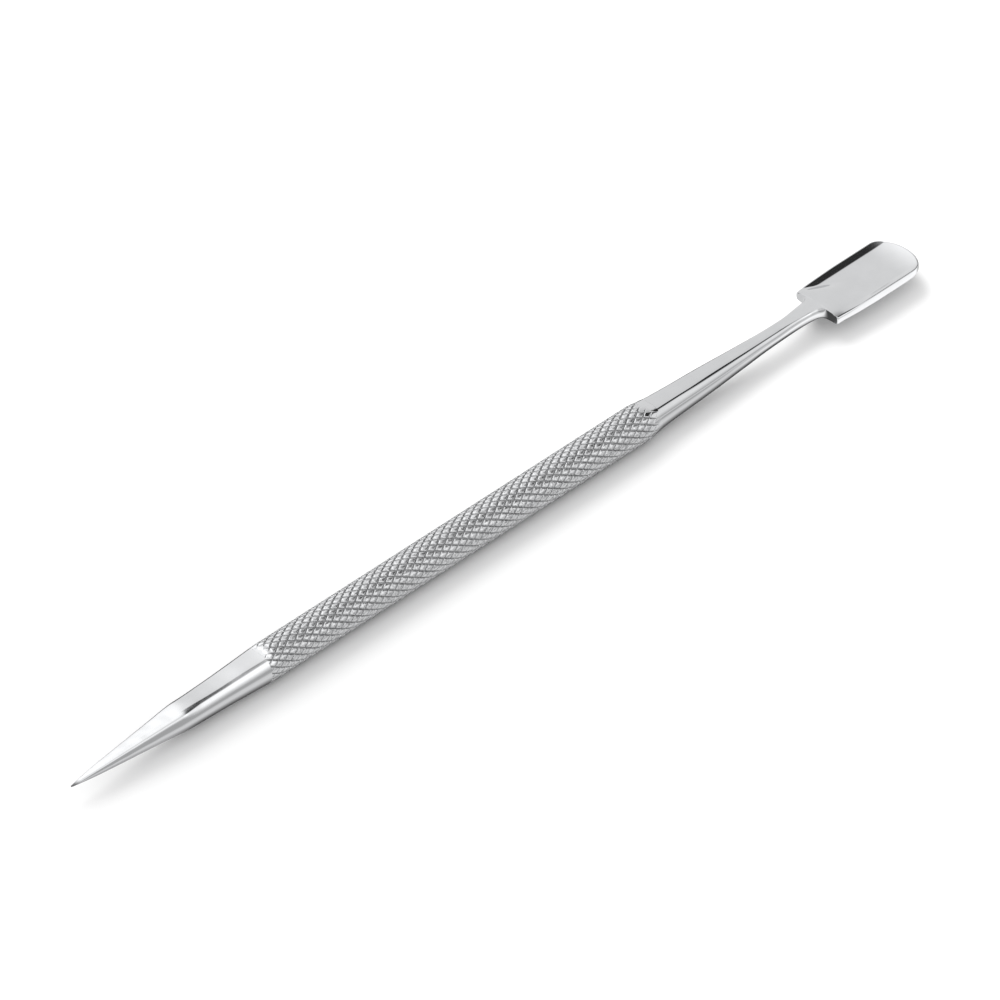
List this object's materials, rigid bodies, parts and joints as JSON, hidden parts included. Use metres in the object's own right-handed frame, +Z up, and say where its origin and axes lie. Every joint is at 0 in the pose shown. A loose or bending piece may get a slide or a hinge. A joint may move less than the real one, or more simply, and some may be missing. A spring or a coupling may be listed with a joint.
{
  "type": "cuticle pusher",
  "caption": "Slim double-ended steel nail tool: a diamond-knurled round handle with a spoon-shaped pusher blade on a ground neck at one end and a sharp tapered pick at the other.",
  "frame": {"origin": "middle of the footprint, on the surface that the tool lies on, halfway between the pick's tip and the blade's rounded end", "axes": "+X along the tool from the pick to the blade, +Y across the blade, +Z up, out of the blade's hollow side, as the tool lies on a table"},
  "size_m": [0.1348, 0.0072, 0.0047],
  "materials": {
    "knurled_steel": "satin, fine diamond knurl with darker grooves",
    "polished_steel": "mirror polish with faint lengthwise grinding lines",
    "ground_steel": "fine ground and polished, faint crosswise grinding lines"
  },
  "bodies": {
    "root": {"knurled_handle": "knurled_steel", "pusher_end": "polished_steel", "pick_end": "ground_steel"}
  },
  "joints": []
}
